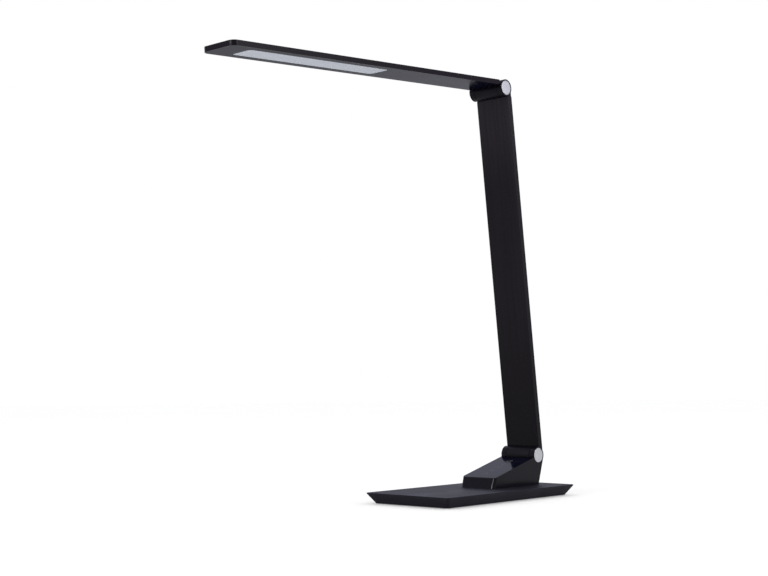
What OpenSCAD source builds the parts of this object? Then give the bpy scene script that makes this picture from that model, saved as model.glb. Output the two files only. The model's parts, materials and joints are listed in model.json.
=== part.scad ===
// Folding desk lamp: a flat light bar on a flat stem, both hinged, over a weighted base plate.
// Millimetres. +Z is up, the light bar points towards -Y, and the origin lies on the desk
// under the middle of the base plate.

/* [Base plate] */
// Width of the base plate across its top edge
base_w = 102; // [94:1:130]
// Length of the base plate along its top edge
base_l = 197.5; // [190:0.5:230]
// Height of the base plate without its pad
base_h = 10; // [9.5:0.5:14]
// How far the underside is drawn in from the top edge on every side
base_inset = 6; // [3:0.5:7]
// Corner radius of the base plate
base_corner_r = 4; // [3:0.5:7]
// Height of the upright rim under the top edge
base_rim_h = 0.8; // [0.4:0.1:1.5]
// Thickness of the base shell's top wall
base_top_t = 2; // [1.6:0.1:2.4]
// Thickness of the base shell's side walls
base_wall = 2.2; // [1.6:0.1:3]
// Thickness of the steel ballast plate
ballast_t = 5; // [3:0.5:5]
// Thickness of the bottom cover
cover_t = 1.6; // [1.4:0.1:2]
// Thickness of the non-slip pad under the base
pad_t = 0.6; // [0.5:0.1:1.5]
// How far the pad's edge stays inside the bottom cover's edge
pad_margin = 4; // [2:0.5:10]

/* [Pedestal] */
// Width of the pedestal
ped_w = 41; // [40:1:46]
// Distance from the hinge axis to the pedestal's front face
ped_front = 75; // [72:1:82]
// Distance from the hinge axis forward to the foot of the back wall
ped_heel = 0.5; // [0:0.5:2]
// Height of the pedestal's front edge over the base plate
ped_nose_h = 9.9; // [9.5:0.1:10.5]
// Slope of the pedestal's top, in degrees
ped_slope = 14.8; // [14:0.1:15.5]
// Wall thickness of the pedestal housing
ped_wall = 2; // [1.6:0.1:2.4]
// Radius of the pedestal's upright front corners
ped_corner_r = 4; // [3:0.5:6]
// Radius of the pedestal's front top edge
ped_nose_r = 2.5; // [1:0.25:3]
// Thickness of the touch panel
panel_t = 1.5; // [1:0.1:2]
// Width of the housing rim left around the touch panel
panel_rim = 0.8; // [0.6:0.1:1.5]
// Number of touch keys under the panel
key_count = 5; // [3:1:5]

/* [Hinges] */
// Height of the lower hinge axis over the base plate
hinge_h = 28.9; // [28.5:0.1:31]
// Distance from the base plate's back edge to the lower hinge axis
hinge_back = 18.3; // [14:0.1:22]
// Radius of the hinge knuckles
knuckle_r = 8.4; // [8.2:0.1:8.8]
// Width of each hinge ear
ear_t = 6; // [5.8:0.1:7]
// Diameter of a hinge pin
pin_d = 5; // [4:0.5:5.5]
// Diameter of a silver end cap
cap_d = 14.6; // [13.6:0.2:15]
// Thickness of a silver end cap
cap_t = 1.2; // [1:0.1:1.4]
// Depth of a cap's face below the rim of its ear
cap_sink = 0.2; // [0.1:0.1:0.5]
// Thickness of a friction washer
washer_t = 0.45; // [0.3:0.05:0.6]

/* [Stem] */
// Distance between the two hinge axes
stem_c = 370; // [368:1:450]
// Width of the stem
stem_w = 39.6; // [38.4:0.2:40]
// Thickness of the stem
stem_t = 6.4; // [6.2:0.1:7]
// Wall thickness of the stem tube
stem_wall = 1.2; // [1:0.1:1.3]
// Radius of the stem tube's long edges
stem_edge_r = 1.2; // [0.5:0.1:1.5]
// Length of each casting inside the stem tube
plug_l = 26; // [20:1:40]
// Lean of the stem towards the front at rest, in degrees
stem_lean = 6.8; // [3:0.1:10]

/* [Light bar] */
// Width of the light bar
head_w = 39.2; // [38:0.2:46]
// Distance from the upper hinge axis to the light bar's tip
head_reach = 360; // [345:1:360]
// Thickness of the light bar
head_t = 4.9; // [4.9:0.1:5.5]
// Height of the light bar's underside over the hinge axis
head_lift = 2.6; // [2.2:0.1:2.8]
// Droop of the light bar below level at rest, in degrees
head_droop = 3.8; // [0:0.1:6]
// Radius of the light bar's tip corners
head_tip_r = 7; // [4:0.5:9]
// Thickness of the light bar's walls
head_wall = 1.3; // [1.2:0.1:1.5]
// Thickness of the underside bezel
bezel_t = 1; // [0.8:0.1:1.1]
// Width of the light window
window_w = 23.8; // [18:0.2:25]
// Length of the light window
window_l = 170; // [120:0.5:200]
// Distance from the light bar's tip to the light window
window_tip = 25.2; // [18:0.2:60]
// Radius of the light window's corners
window_r = 4; // [2:0.5:6]
// Number of light emitters on each strip
led_count = 20; // [10:1:24]

/* [Power inlet] */
// Diameter of the inlet's round nose
inlet_d = 8; // [7:0.5:8.5]
// Diameter of the inlet's bore
inlet_bore_d = 5.6; // [5:0.1:6]
// Diameter of the inlet's centre contact
inlet_pin_d = 2; // [1.6:0.1:2.5]

/* [Clearances] */
// Radial play of a pin in its bore
pin_fit = 0.05; // [0.02:0.01:0.1]
// Gap between parts that turn past each other
turn_gap = 0.3; // [0.25:0.05:0.4]
// Gap round a part that sits in a recess
seat_fit = 0.15; // [0.1:0.05:0.2]

/* [Hidden] */

$fn = 64;
hull_fn = 32;
eps = 0.01;

// Places of the main levels and axes
base_top = pad_t + base_h;
axis_y = base_l/2 - hinge_back;
axis_z = base_top + hinge_h;
shell_ceiling = base_top - base_top_t;
ballast_z = shell_ceiling - ballast_t;

// Base plate details
base_foot_edge = 0.4;
mouth_w = base_w - 2*(base_inset + base_wall);
mouth_l = base_l - 2*(base_inset + base_wall);
mouth_r = 2;
post_r = 3.2;
post_x = mouth_w/2 - 8;
post_y = mouth_l/2 - 7;
post_places = [for (sx = [-1, 1], y = [-post_y, 0, post_y]) [sx*post_x, y]];
cover_screw_r = 1.3;
cover_head_r = 2.5;
cover_head_h = 1.2;
cover_screw_l = 5.6;
ballast_gap = 1.2;

// Pedestal details
ped_screw_r = 1.75;
ped_screw_head_r = 3.4;
ped_screw_head_h = 1.9;
ped_screw_grip = 7;
ped_screw_l = ballast_t + base_top_t + ped_screw_grip;
ped_boss_r = 3.4;
ped_boss_h = 8.5;
ped_boss_x = ped_w/2 - ped_wall - 4.4;
ped_boss_ys = [-ped_front + ped_wall + 7, -9];
ped_boss_places = [for (sx = [-1, 1], y = ped_boss_ys) [sx*ped_boss_x, axis_y + y]];
panel_floor_t = 1.3;
slope_z0 = base_top + ped_nose_h + ped_front*tan(ped_slope);
nose_cz = base_top + ped_nose_h + ped_nose_r*tan(ped_slope) - ped_nose_r/cos(ped_slope);
saddle_r = knuckle_r + turn_gap;
heel = [-ped_heel, base_top];
heel_d = norm([ped_heel, hinge_h]);
wall_r = knuckle_r - 0.05;
heel_turn = asin(wall_r/heel_d) + atan(ped_heel/hinge_h);
heel_run = sqrt(heel_d*heel_d - wall_r*wall_r);
back_tangent = heel + heel_run*[sin(heel_turn), cos(heel_turn)];
ear_inner = ped_w/2 - ear_t;
ear_edge = 0.3;
panel_back = sqrt(saddle_r*saddle_r - pow(slope_z0 - axis_z, 2)) + panel_rim + 0.4;
panel_front = ped_front/cos(ped_slope) - ped_nose_r - 0.6;
panel_w = ped_w - 2*panel_rim;
panel_front_r = ped_corner_r - panel_rim;
panel_back_r = 0.8;
key_r = 2.5;
key_h = 3.5;
key_first = panel_back + 8;
key_pitch = (panel_front - panel_back - 15)/(key_count - 1);
touch_pcb_t = 1;
touch_pcb_w = ped_w - 2*ped_wall - 4;
touch_pcb_back = panel_back + 2;
touch_pcb_front = panel_front - ped_wall - 2*ped_boss_r - 2;
touch_pcb_z = -panel_t - key_h;
touch_post_r = 2;
touch_post_x = touch_pcb_w/2 - 3;
touch_post_ys = [touch_pcb_back + 4, touch_pcb_front - 4];
small_screw_r = 0.9;
small_head_r = 1.8;
small_head_h = 1.1;

// Driver board and inlet details
driver_standoff_h = 2.5;
driver_pcb_t = 1.6;
driver_pcb_w = ped_w - 2*ped_wall - 4;
driver_pcb_front = ped_front - 19;
driver_pcb_back = 4;
driver_z = base_top + driver_standoff_h;
driver_top = driver_z + driver_pcb_t;
standoff_r = 2.2;
standoff_x = driver_pcb_w/2 - 3;
standoff_ys = [-driver_pcb_front + 4, -driver_pcb_back - 16];
standoff_places = [for (sx = [-1, 1], y = standoff_ys) [sx*standoff_x, axis_y + y]];
inlet_body = [9, 9, 10.4];
inlet_z = driver_top + 5.3;
inlet_nose_y = -ped_heel + (driver_top + 1.3 - base_top)*tan(heel_turn);
inlet_body_y = -ped_heel + (driver_top - base_top)*tan(heel_turn) - ped_wall/cos(heel_turn) - 0.3;

// Hinge details; a hinge lies along X about its own origin
pocket_depth = cap_sink + cap_t;
hardware_h = 3.1;
hardware_r = 5.3;
spring_t = 0.4;
spring_cone = 0.15;
spring_r = 4.5;
nut_h = hardware_h - 2*(spring_t + spring_cone) - 0.1;
nut_across = 8;
bolt_head_r = 4.4;
bolt_head_h = 2.2;
bolt_socket_af = 3;
pocket_floor_x = ped_w/2 - pocket_depth;
hardware_floor_x = pocket_floor_x - hardware_h;
knuckle_x = ear_inner - washer_t - pin_fit;
washer_r = knuckle_r - 1;
pin_r = pin_d/2;
bore_r = pin_r + pin_fit;

// Stem details
stem_end = knuckle_r + turn_gap;
stem_back = knuckle_r - 0.1;
stem_mid = stem_back - stem_t/2;
stem_foot_r = knuckle_r + 2*turn_gap;
plug_gap = 0.1;
plug_w = stem_w - 2*stem_wall - 2*plug_gap;
plug_t = stem_t - 2*stem_wall - 2*plug_gap;
plug_edge_r = 0.5;
neck_x = knuckle_x;
neck_t = plug_t - 0.2;
stem_screw_r = 1.5;
stem_screw_head_r = 2.8;
stem_screw_grip = 3.2;
stem_screw_l = stem_wall + stem_screw_grip;
stem_screw_x = stem_w/4;
stem_screw_in = 10;
cable_w = 6;
cable_t = 1;
cable_end = 3;
slot_w = cable_w + 2*seat_fit;
wire_r = 1.2;
wire_y = pin_r + wire_r + 1.7;
wire_drop = 2.5;
wire_exit = -125;
lip_t = 1;
lip_run = sqrt(saddle_r*saddle_r - pow(wall_r - lip_t, 2));

// Light bar details
head_start = knuckle_r + turn_gap + 0.1;
head_z1 = head_lift + head_t;
head_ceiling = head_z1 - head_wall;
head_end_r = 1;
head_in_w = head_w - 2*head_wall;
head_in_start = head_start + head_wall;
head_in_end = head_reach - head_wall;
bezel_z1 = head_lift + bezel_t;
bezel_w = head_in_w - 2*seat_fit;
bezel_start = head_in_start + seat_fit;
bezel_end = head_in_end - seat_fit;
window_end = head_reach - window_tip;
window_start = window_end - window_l;
optic_edge = 2.5;
optic_l = window_l + 2*optic_edge;
led_depth = 1;
strip_t = 1;
optic_w = head_in_w - 2*(strip_t + led_depth) - 0.2;
diffuser_t = 0.6;
diffuser_step = bezel_t - 0.2;
reflector_t = 0.3;
guide_z = bezel_z1 + diffuser_t;
guide_t = head_ceiling - reflector_t - guide_z;
led_pitch = window_l/led_count;
led_l = 3;
tongue_gap = 0.1;
tongue_z = bezel_z1 + tongue_gap;
tongue_w = 30;
tongue_l = 38;
tongue_end = head_in_start + tongue_l;
head_cable_t = 0.5;
head_wire_r = 1.2;
head_wire_z = pin_r + head_wire_r + 1.1;
head_wire_y = 2.5;
head_wire_exit = -55;
head_screw_r = 1.25;
head_screw_head_r = 2.3;
head_screw_head_h = 1.1;
head_screw_x = 10;
head_screw_in = 8;
head_screw_out = 7;
head_screw_ys = [head_in_start + head_screw_in, tongue_end - head_screw_out];
head_screw_tip = head_ceiling + 0.9;

// ---------------------------------------------------------------- helpers

// Rounded rectangle about the origin
module plate2d(w, l, r) {
    square([w - 2*r, l], center = true);
    square([w, l - 2*r], center = true);
    for (sx = [-1, 1], sy = [-1, 1])
        translate([sx*(w/2 - r), sy*(l/2 - r)]) circle(r);
}

// Bar from y = -y1 to y = -y0 with its own corner radius at each end
module bar2d(w, y0, y1, r0, r1) {
    translate([-w/2, -y1 + r1]) square([w, y1 - y0 - r0 - r1]);
    translate([-w/2 + r1, -y1]) square([w - 2*r1, (y1 - y0)/2]);
    translate([-w/2 + r0, -(y0 + y1)/2]) square([w - 2*r0, (y1 - y0)/2]);
    for (sx = [-1, 1]) {
        translate([sx*(w/2 - r1), -y1 + r1]) circle(r1);
        translate([sx*(w/2 - r0), -y0 - r0]) circle(r0);
    }
}

module slab(w, l, h, r) {
    linear_extrude(h) plate2d(w, l, r);
}

module drawn_in_slab(w0, l0, h0, w1, l1, h1, h, r) {
    hull() {
        slab(w0, l0, h0, r, $fn = hull_fn);
        translate([0, 0, h - h1]) slab(w1, l1, h1, r, $fn = hull_fn);
    }
}

// Extrudes a (y, z) outline along X, from x0 to x1
module along_x(x0, x1) {
    translate([x0, 0, 0]) rotate([90, 0, 90]) linear_extrude(x1 - x0) children();
}

// Cylinder along +X that starts at x0
module rod_x(x0, x1, r) {
    translate([x0, 0, 0]) rotate([0, 90, 0]) cylinder(r = r, h = x1 - x0);
}

module cone_x(x0, x1, r0, r1) {
    translate([x0, 0, 0]) rotate([0, 90, 0]) cylinder(r1 = r0, r2 = r1, h = x1 - x0);
}

module at_places(places) {
    for (p = places) translate([p[0], p[1], 0]) children();
}

// Flat-head screw: head up at z = 0, shank down
module flat_screw(r, head_r, head_h, l, socket_r) {
    difference() {
        union() {
            translate([0, 0, -head_h]) cylinder(r1 = r, r2 = head_r, h = head_h);
            translate([0, 0, -l]) cylinder(r = r, h = l - head_h + eps);
        }
        translate([0, 0, -head_h*0.6]) cylinder(r = socket_r, h = head_h, $fn = 6);
    }
}

// Room for a flat-head screw, open upwards from z = 0
module flat_screw_room(r, head_r, head_h, l, fit) {
    translate([0, 0, -head_h - fit]) cylinder(r1 = r + fit, r2 = head_r + fit, h = head_h + fit + eps);
    translate([0, 0, -l]) cylinder(r = r + fit, h = l);
}

// Small pan-head screw: head up over z = 0, shank down
module pan_screw(l) {
    difference() {
        union() {
            cylinder(r = small_head_r, h = small_head_h);
            translate([0, 0, -l]) cylinder(r = small_screw_r, h = l + eps);
        }
        translate([0, 0, small_head_h*0.4]) cylinder(r = small_head_r*0.5, h = small_head_h, $fn = 6);
    }
}

// Drilled passage that follows points in the (y, z) plane, each leg a little finer than the last
module passage(points, r) {
    for (i = [1 : len(points) - 1]) {
        run = points[i] - points[i - 1];
        translate([0, points[i - 1][0], points[i - 1][1]])
            rotate([atan2(-run[0], run[1]), 0, 0]) cylinder(r = r - 0.1*(i - 1), h = norm(run) + r);
    }
}

module in_pedestal() {
    translate([0, axis_y, 0]) children();
}

// Frame on the pedestal's slope: -Y runs down to the front, Z stands off the slope
module on_slope() {
    translate([0, axis_y, slope_z0]) rotate([ped_slope, 0, 0]) children();
}

// Frame of the stem: origin on the lower axis, +Z along the stem
module in_stem() {
    translate([0, axis_y, axis_z]) rotate([stem_lean, 0, 0]) children();
}

module at_upper_hinge() {
    in_stem() translate([0, 0, stem_c]) children();
}

// Frame of the light bar: origin on the upper axis, -Y towards the tip
module in_head() {
    at_upper_hinge() rotate([head_droop - stem_lean, 0, 0]) children();
}

module at_lower_hinge() {
    translate([0, axis_y, axis_z]) children();
}

// ---------------------------------------------------------------- hinge hardware

// Everything cut out of a pair of ears: the pin's bore, the hardware pockets and the cap seats
module ear_cuts() {
    rod_x(-ped_w/2 - 1, ped_w/2 + 1, bore_r);
    for (side = [-1, 1]) mirror([side < 0 ? 1 : 0, 0, 0]) {
        rod_x(hardware_floor_x, ped_w/2 + 1, hardware_r);
        rod_x(pocket_floor_x, ped_w/2 + 1, cap_d/2 + seat_fit);
    }
}

// Bevel round the outer edge of both ears; the children are what it stops at
module ear_bevels() {
    for (side = [-1, 1]) mirror([side < 0 ? 1 : 0, 0, 0])
        difference() {
            rod_x(ped_w/2 - ear_edge, ped_w/2 + 1, knuckle_r + 1);
            cone_x(ped_w/2 - ear_edge - eps, ped_w/2 + eps, knuckle_r, knuckle_r - ear_edge);
            children();
        }
}

module hinge_pin() {
    difference() {
        union() {
            rod_x(-hardware_floor_x - bolt_head_h, -hardware_floor_x, bolt_head_r);
            rod_x(-hardware_floor_x - eps, pocket_floor_x - 0.3, pin_r);
        }
        rod_x(-hardware_floor_x - bolt_head_h - 1, -hardware_floor_x - bolt_head_h/2,
              bolt_socket_af/sqrt(3), $fn = 6);
    }
}

module friction_washers() {
    for (side = [-1, 1]) mirror([side < 0 ? 1 : 0, 0, 0])
        difference() {
            rod_x(ear_inner - washer_t, ear_inner, washer_r);
            rod_x(ear_inner - washer_t - 1, ear_inner + 1, bore_r);
        }
}

// Two dished washers, rim to rim, under the nut
module disc_springs() {
    dish = spring_t + spring_cone;
    for (turned = [0, 1])
        translate([hardware_floor_x + dish, 0, 0]) mirror([turned, 0, 0])
            rotate([0, 90, 0]) rotate_extrude()
                polygon([[bore_r, spring_cone], [spring_r, 0], [spring_r, spring_t], [bore_r, dish]]);
}

module hinge_nut() {
    nut_x = hardware_floor_x + 2*(spring_t + spring_cone);
    difference() {
        rod_x(nut_x, nut_x + nut_h, nut_across/sqrt(3), $fn = 6);
        rod_x(nut_x - 1, nut_x + nut_h + 1, bore_r);
    }
}

// Turned end cap with a bevelled rim round a slightly sunk face
module end_cap() {
    cap_r = cap_d/2;
    rim = 0.35;
    rim_w = 0.6;
    translate([pocket_floor_x, 0, 0]) rotate([0, 90, 0]) rotate_extrude()
        polygon([[0, 0], [cap_r, 0], [cap_r, cap_t - rim], [cap_r - rim, cap_t],
                 [cap_r - rim - rim_w, cap_t], [cap_r - rim - rim_w - 0.2, cap_t - 0.2], [0, cap_t - 0.2]]);
}

// ---------------------------------------------------------------- base

function slant_inset(z) = base_inset*max(0, 1 - (z - base_foot_edge)/(base_h - base_rim_h - base_foot_edge));

module base_shell() {
    cavity_h = base_h - base_top_t;
    cavity_top_inset = slant_inset(cavity_h) + base_wall;
    color([0.10, 0.10, 0.11])
    difference() {
        union() {
            translate([0, 0, pad_t]) difference() {
                drawn_in_slab(base_w - 2*base_inset, base_l - 2*base_inset, base_foot_edge,
                              base_w, base_l, base_rim_h, base_h, base_corner_r);
                translate([0, 0, -eps])
                    drawn_in_slab(mouth_w, mouth_l, base_foot_edge,
                                  base_w - 2*cavity_top_inset, base_l - 2*cavity_top_inset, 0.2,
                                  cavity_h + eps, mouth_r);
            }
            at_places(post_places) translate([0, 0, pad_t + cover_t])
                cylinder(r = post_r, h = shell_ceiling - pad_t - cover_t + eps);
            at_places(standoff_places) translate([0, 0, base_top - eps])
                cylinder(r = standoff_r, h = driver_standoff_h + eps);
        }
        at_places(post_places) translate([0, 0, pad_t])
            cylinder(r = cover_screw_r + pin_fit, h = cover_screw_l + 0.4);
        at_places(standoff_places) translate([0, 0, base_top - 1])
            cylinder(r = small_screw_r + pin_fit, h = driver_standoff_h + 2);
        at_places(ped_boss_places) translate([0, 0, shell_ceiling - 1])
            cylinder(r = ped_screw_r + seat_fit, h = base_top_t + 2);
    }
}

module ballast_plate() {
    color([0.45, 0.46, 0.48])
    difference() {
        translate([0, 0, ballast_z]) slab(mouth_w - 2*ballast_gap, mouth_l - 2*ballast_gap, ballast_t, mouth_r);
        at_places(post_places) translate([0, 0, ballast_z - 1]) cylinder(r = post_r + 0.4, h = ballast_t + 2);
        at_places(ped_boss_places) translate([0, 0, ballast_z]) rotate([180, 0, 0])
            flat_screw_room(ped_screw_r, ped_screw_head_r, ped_screw_head_h, ballast_t + 1, seat_fit);
    }
}

module bottom_cover() {
    color([0.13, 0.13, 0.14])
    difference() {
        translate([0, 0, pad_t]) slab(mouth_w - 2*seat_fit, mouth_l - 2*seat_fit, cover_t, mouth_r);
        at_places(post_places) translate([0, 0, pad_t]) rotate([180, 0, 0])
            flat_screw_room(cover_screw_r, cover_head_r, cover_head_h, cover_t + 1, pin_fit);
    }
}

module cover_screws() {
    color([0.7, 0.7, 0.72])
    at_places(post_places) translate([0, 0, pad_t]) rotate([180, 0, 0])
        flat_screw(cover_screw_r, cover_head_r, cover_head_h, cover_screw_l, 1);
}

module non_slip_pad() {
    color([0.05, 0.05, 0.05])
    slab(mouth_w - 2*pad_margin, mouth_l - 2*pad_margin, pad_t, mouth_r + 2);
}

// ---------------------------------------------------------------- pedestal

// Side view of the pedestal, y from the hinge axis and z from the desk: a wedge, then the ear's round head
module pedestal_wedge2d() {
    slope_y = -ped_front + ped_nose_r*(1 - sin(ped_slope));
    slope_z = nose_cz + ped_nose_r*cos(ped_slope);
    polygon([[-ped_front, base_top], [-ped_front, nose_cz], [slope_y, slope_z],
             [-knuckle_r*0.9, slope_z0 - knuckle_r*0.9*tan(ped_slope)],
             [0, axis_z], back_tangent, heel]);
    translate([-ped_front + ped_nose_r, nose_cz]) circle(ped_nose_r);
}

module pedestal_side2d() {
    pedestal_wedge2d();
    translate([0, axis_z]) circle(knuckle_r);
}

// Frame of the back wall: Z runs up the wall from its foot, Y stands off it
module on_back_wall() {
    translate([0, axis_y - ped_heel, base_top]) rotate([-heel_turn, 0, 0]) children();
}

// The hollow inside, the housing's walls thinner all round
module pedestal_hollow2d() {
    difference() {
        polygon([[-ped_front + ped_wall, base_top - 1], [-ped_front + ped_wall, axis_z],
                 [knuckle_r, axis_z], back_tangent, heel, [-ped_heel, base_top - 1]]);
        translate([0, slope_z0]) rotate(ped_slope)
            translate([-2*ped_front, -panel_t - panel_floor_t]) square([3*ped_front, 2*ped_front]);
        translate(heel) rotate(-heel_turn) translate([-ped_wall, -hinge_h/2]) square([4*ped_wall, 2*hinge_h]);
        translate([0, axis_z]) circle(saddle_r + ped_wall);
    }
}

// Side view of the saddle between the ears, cut back where its rear lip would come out thin
module saddle2d() {
    circle(saddle_r);
    translate(heel - [0, axis_z]) rotate(-heel_turn)
        translate([-lip_t - 2, heel_run - lip_run]) square([lip_t + 3, 2*lip_run]);
}

// Slot in the saddle for the wires, as far as the stem swings
module wire_slot2d() {
    intersection() {
        circle(saddle_r + ped_wall + 0.6);
        polygon([[0, 0], for (a = [-156 : 24.5 : -58]) 3*knuckle_r*[cos(a), sin(a)]]);
    }
}

module panel2d(grow) {
    bar2d(panel_w + 2*grow, panel_back - grow, panel_front + grow, panel_back_r + grow, panel_front_r + grow);
}

module pedestal_housing() {
    key_ys = [for (i = [0 : key_count - 1]) -(key_first + i*key_pitch)];
    color([0.09, 0.09, 0.10])
    difference() {
        union() {
            difference() {
                intersection() {
                    in_pedestal() along_x(-ped_w/2 - 1, ped_w/2 + 1) pedestal_side2d();
                    translate([0, 0, base_top - 1]) linear_extrude(2*hinge_h)
                        translate([0, axis_y - ped_front/2 + 10]) plate2d(ped_w, ped_front + 20, ped_corner_r);
                }
                in_pedestal() along_x(-ped_w/2 + ped_wall, ped_w/2 - ped_wall) pedestal_hollow2d();
            }
            at_places(ped_boss_places) translate([0, 0, base_top]) cylinder(r = ped_boss_r, h = ped_boss_h);
            for (sx = [-1, 1], y = ped_boss_ys)
                translate([sx*(ped_w/2 - ped_wall/2) - (sx > 0 ? 4 : 0), axis_y + y - 0.8, base_top])
                    cube([4, 1.6, ped_boss_h]);
            on_slope() for (sx = [-1, 1], y = touch_post_ys)
                translate([sx*touch_post_x, -y, touch_pcb_z]) cylinder(r = touch_post_r, h = key_h - eps);
        }
        at_lower_hinge() {
            along_x(-ear_inner, ear_inner) saddle2d();
            along_x(-wire_r - 0.6, wire_r + 0.6) wire_slot2d();
            ear_cuts();
            ear_bevels() translate([0, 0, -axis_z]) along_x(0, ped_w) pedestal_wedge2d();
        }
        on_back_wall() for (sx = [-1, 1]) translate([sx*ped_w/2, 0, -2]) rotate([0, 0, 90 - 45*sx])
            translate([-ear_edge/sqrt(2), -3, 0]) cube([4, 6, heel_run + 4]);
        on_slope() {
            translate([0, 0, -panel_t]) linear_extrude(panel_t + 5) panel2d(seat_fit);
            for (y = key_ys) translate([0, y, -panel_t - panel_floor_t - 1]) cylinder(r = key_r + 0.5, h = 4);
            for (sx = [-1, 1], y = touch_post_ys)
                translate([sx*touch_post_x, -y, touch_pcb_z - 1]) cylinder(r = small_screw_r + pin_fit, h = 3.6);
        }
        at_places(ped_boss_places) translate([0, 0, base_top - 1])
            cylinder(r = ped_screw_r + pin_fit, h = ped_screw_grip + 1.5);
        translate([0, axis_y + 5*ped_wall, inlet_z]) rotate([90, 0, 0])
            cylinder(r = inlet_d/2 + seat_fit, h = 8*ped_wall);
    }
}

module pedestal_screws() {
    color([0.72, 0.72, 0.74])
    at_places(ped_boss_places) translate([0, 0, ballast_z]) rotate([180, 0, 0])
        flat_screw(ped_screw_r, ped_screw_head_r, ped_screw_head_h, ped_screw_l, 1.5);
}

module touch_panel() {
    color([0.20, 0.21, 0.24])
    on_slope() translate([0, 0, -panel_t]) linear_extrude(panel_t) panel2d(0);
}

module touch_springs() {
    color([0.25, 0.25, 0.27])
    on_slope() for (i = [0 : key_count - 1])
        translate([0, -(key_first + i*key_pitch), touch_pcb_z]) cylinder(r = key_r, h = key_h);
}

module touch_board() {
    color([0.05, 0.30, 0.14])
    on_slope() difference() {
        translate([0, 0, touch_pcb_z - touch_pcb_t]) linear_extrude(touch_pcb_t)
            bar2d(touch_pcb_w, touch_pcb_back, touch_pcb_front, 1, 1);
        for (sx = [-1, 1], y = touch_post_ys)
            translate([sx*touch_post_x, -y, touch_pcb_z - 2]) cylinder(r = small_screw_r + 0.1, h = 4);
    }
}

module touch_board_screws() {
    color([0.75, 0.75, 0.76])
    on_slope() for (sx = [-1, 1], y = touch_post_ys)
        translate([sx*touch_post_x, -y, touch_pcb_z - touch_pcb_t]) rotate([180, 0, 0]) pan_screw(touch_pcb_t + 2.2);
}

// ---------------------------------------------------------------- driver board and inlet

module driver_board() {
    color([0.05, 0.28, 0.16])
    difference() {
        translate([0, axis_y, driver_z]) linear_extrude(driver_pcb_t)
            bar2d(driver_pcb_w, driver_pcb_back, driver_pcb_front, 1, 1);
        at_places(standoff_places) translate([0, 0, driver_z - 1]) cylinder(r = small_screw_r + 0.1, h = 4);
        at_places(ped_boss_places) translate([0, 0, driver_z - 1]) cylinder(r = ped_boss_r + 0.5, h = 4);
        for (sx = [-1, 1], y = ped_boss_ys)
            translate([sx*(ped_w/2 - 2.6) - 3, axis_y + y - 1.4, driver_z - 1]) cube([6, 2.8, 4]);
    }
}

// A choke, two capacitors and two chips
module driver_components() {
    color([0.12, 0.12, 0.13])
    translate([0, axis_y, driver_top]) {
        translate([0, -40, 0]) difference() {
            cylinder(r = 4, h = 3.6);
            translate([0, 0, 3]) cylinder(r = 1.6, h = 2);
        }
        for (x = [-6.5, 6.5]) translate([x, -28, 0]) cylinder(r = 2.5, h = 6);
        translate([-2.5, -32.5, 0]) cube([5, 4, 1.5]);
        translate([-3.9, -21, 0]) cube([4, 5, 1.5]);
    }
}

module driver_board_screws() {
    color([0.75, 0.75, 0.76])
    at_places(standoff_places) translate([0, 0, driver_top]) pan_screw(driver_pcb_t + 2);
}

module power_inlet() {
    bore_depth = 8;
    color([0.07, 0.07, 0.07])
    translate([0, axis_y, 0]) {
        difference() {
            union() {
                translate([-inlet_body[0]/2, inlet_body_y - inlet_body[1], driver_top]) cube(inlet_body);
                translate([0, inlet_nose_y, inlet_z]) rotate([90, 0, 0])
                    cylinder(r = inlet_d/2, h = inlet_nose_y - inlet_body_y + 1);
            }
            translate([0, inlet_nose_y + 1, inlet_z]) rotate([90, 0, 0])
                cylinder(r = inlet_bore_d/2, h = bore_depth + 1);
        }
        translate([0, inlet_nose_y - 0.8, inlet_z]) rotate([90, 0, 0])
            cylinder(r = inlet_pin_d/2, h = bore_depth);
    }
}

// ---------------------------------------------------------------- stem

module stem_section2d() {
    translate([0, stem_mid]) difference() {
        plate2d(stem_w, stem_t, stem_edge_r);
        plate2d(stem_w - 2*stem_wall, stem_t - 2*stem_wall, plug_edge_r);
    }
}

// Countersunk holes for the screws that hold a casting, at height s up the stem
module stem_screw_rooms(s, fit) {
    for (sx = [-1, 1]) translate([sx*stem_screw_x, stem_back, s]) rotate([-90, 0, 0])
        flat_screw_room(stem_screw_r, stem_screw_head_r, stem_wall, stem_screw_l + 0.4, fit);
}

// The tube's foot is cut hollow, so it wraps the back of the barrel it turns on
module stem_tube() {
    color([0.12, 0.12, 0.13])
    in_stem() difference() {
        linear_extrude(stem_c - stem_end) stem_section2d();
        rod_x(-stem_w, stem_w, stem_foot_r);
        for (s = [stem_end + stem_screw_in, stem_c - stem_end - stem_screw_in]) stem_screw_rooms(s, pin_fit);
    }
}

// The part of a casting that fills the tube's end, from height 0 up to plug_l, with a slot for the cable
module stem_plug() {
    difference() {
        translate([0, stem_mid, 0]) linear_extrude(plug_l) plate2d(plug_w, plug_t, plug_edge_r);
        translate([-slot_w/2, stem_mid + plug_t/2 - cable_t, 2]) cube([slot_w, cable_t + 1, plug_l]);
    }
}

// Lower casting: the middle knuckle, its neck and the plug inside the tube
module stem_knuckle() {
    color([0.08, 0.08, 0.09])
    in_stem() difference() {
        union() {
            rod_x(-knuckle_x, knuckle_x, knuckle_r);
            translate([-neck_x, stem_mid - neck_t/2, 0]) cube([2*neck_x, neck_t, stem_end + 1]);
            translate([0, 0, stem_end]) stem_plug();
        }
        rod_x(-knuckle_x - 1, knuckle_x + 1, bore_r);
        passage([[wire_y, stem_end + 4], [wire_y, -wire_drop], (knuckle_r + 1)*[cos(wire_exit), sin(wire_exit)]],
                wire_r);
        stem_screw_rooms(stem_end + stem_screw_in, pin_fit);
    }
}

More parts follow.
